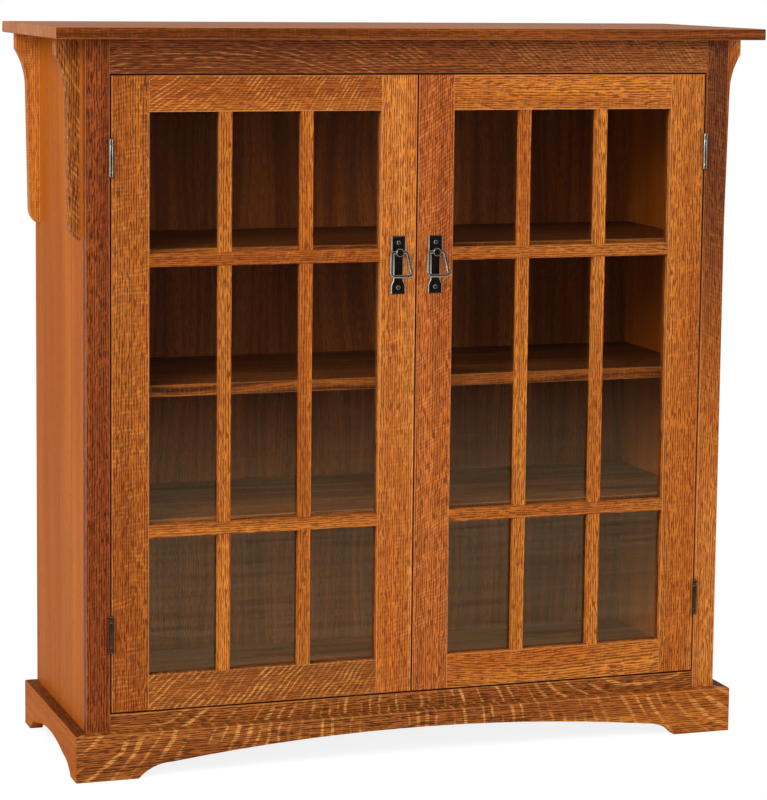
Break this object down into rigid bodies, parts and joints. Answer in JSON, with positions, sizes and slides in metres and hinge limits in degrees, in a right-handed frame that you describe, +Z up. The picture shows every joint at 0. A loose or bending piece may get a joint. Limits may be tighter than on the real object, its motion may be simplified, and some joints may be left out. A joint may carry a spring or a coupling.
{
  "type": "bookcase with doors",
  "caption": "Free-standing oak bookcase with a pair of glazed, barred doors, shelves on pins, shaped brackets under an overhanging top and an arched bracket base.",
  "frame": {"origin": "on the floor, under the middle of the top board", "axes": "+X to the right as seen from the front, +Y to the back, +Z up"},
  "size_m": [1.238, 0.426, 1.232],
  "materials": {
    "oak_case": "quarter-sawn oak, amber stain, semi-gloss lacquer",
    "oak_door": "quarter-sawn oak, honey stain, semi-gloss lacquer",
    "oak_inside": "plain-sawn oak, amber stain, satin lacquer",
    "oak_back": "oak-faced plywood, amber stain, satin lacquer",
    "glass": "clear float glass",
    "hinge_steel": "dark pewter plate",
    "black_iron": "satin black, worn bright at the edges",
    "screw_steel": "zinc plated",
    "catch_plastic": "brown moulded case"
  },
  "bodies": {
    "case": {"top_board": "oak_case", "sub_top": "oak_inside", "top_screws": "screw_steel", "side_panel_left": "oak_case", "side_panel_right": "oak_case", "case_bottom": "oak_inside", "door_stop_rail": "oak_inside", "back_panel": "oak_back", "frame_stile_left": "oak_case", "frame_stile_right": "oak_case", "frame_top_rail": "oak_case", "frame_bottom_rail": "oak_case", "base_front": "oak_case", "base_left": "oak_case", "base_right": "oak_case", "base_back_rail": "oak_case", "base_corner_blocks": "oak_case", "corbel_front_left": "oak_case", "corbel_front_right": "oak_case", "corbel_back_left": "oak_case", "corbel_back_right": "oak_case", "shelf_lower": "oak_inside", "shelf_middle": "oak_inside", "shelf_upper": "oak_inside", "shelf_pins": "screw_steel", "hinge_frame_leaves": "hinge_steel", "hinge_pins": "hinge_steel", "hinge_frame_screws": "hinge_steel", "magnetic_catches": "catch_plastic"},
    "door_left": {"door_left_hinge_stile": "oak_door", "door_left_lock_stile": "oak_door", "door_left_top_rail": "oak_door", "door_left_bottom_rail": "oak_door", "door_left_vertical_muntins": "oak_door", "door_left_horizontal_muntins": "oak_door", "door_left_glass": "glass", "door_left_glass_stops": "oak_door", "door_left_hinge_leaves": "hinge_steel", "door_left_hinge_screws": "hinge_steel", "door_left_strike_plate": "screw_steel", "door_left_pull_plate": "black_iron", "door_left_pull_screws": "black_iron"},
    "bail_left": {"bail_left": "black_iron"},
    "door_right": {"door_right_hinge_stile": "oak_door", "door_right_lock_stile": "oak_door", "door_right_top_rail": "oak_door", "door_right_bottom_rail": "oak_door", "door_right_vertical_muntins": "oak_door", "door_right_horizontal_muntins": "oak_door", "door_right_glass": "glass", "door_right_glass_stops": "oak_door", "door_right_hinge_leaves": "hinge_steel", "door_right_hinge_screws": "hinge_steel", "door_right_strike_plate": "screw_steel", "door_right_pull_plate": "black_iron", "door_right_pull_screws": "black_iron"},
    "bail_right": {"bail_right": "black_iron"}
  },
  "joints": [
    {"name": "door_left_swing", "type": "hinge", "parent": "case", "child": "door_left", "pos_m": [-0.5235, -0.185, 0.631], "axis": [0, 0, -1], "range_deg": [0, 170]},
    {"name": "door_right_swing", "type": "hinge", "parent": "case", "child": "door_right", "pos_m": [0.5235, -0.185, 0.631], "axis": [0, 0, 1], "range_deg": [0, 170]},
    {"name": "bail_left_lift", "type": "hinge", "parent": "door_left", "child": "bail_left", "pos_m": [-0.0328, -0.1885, 0.859], "axis": [-1, 0, 0], "range_deg": [0, 150]},
    {"name": "bail_right_lift", "type": "hinge", "parent": "door_right", "child": "bail_right", "pos_m": [0.0328, -0.1885, 0.859], "axis": [-1, 0, 0], "range_deg": [0, 150]}
  ]
}
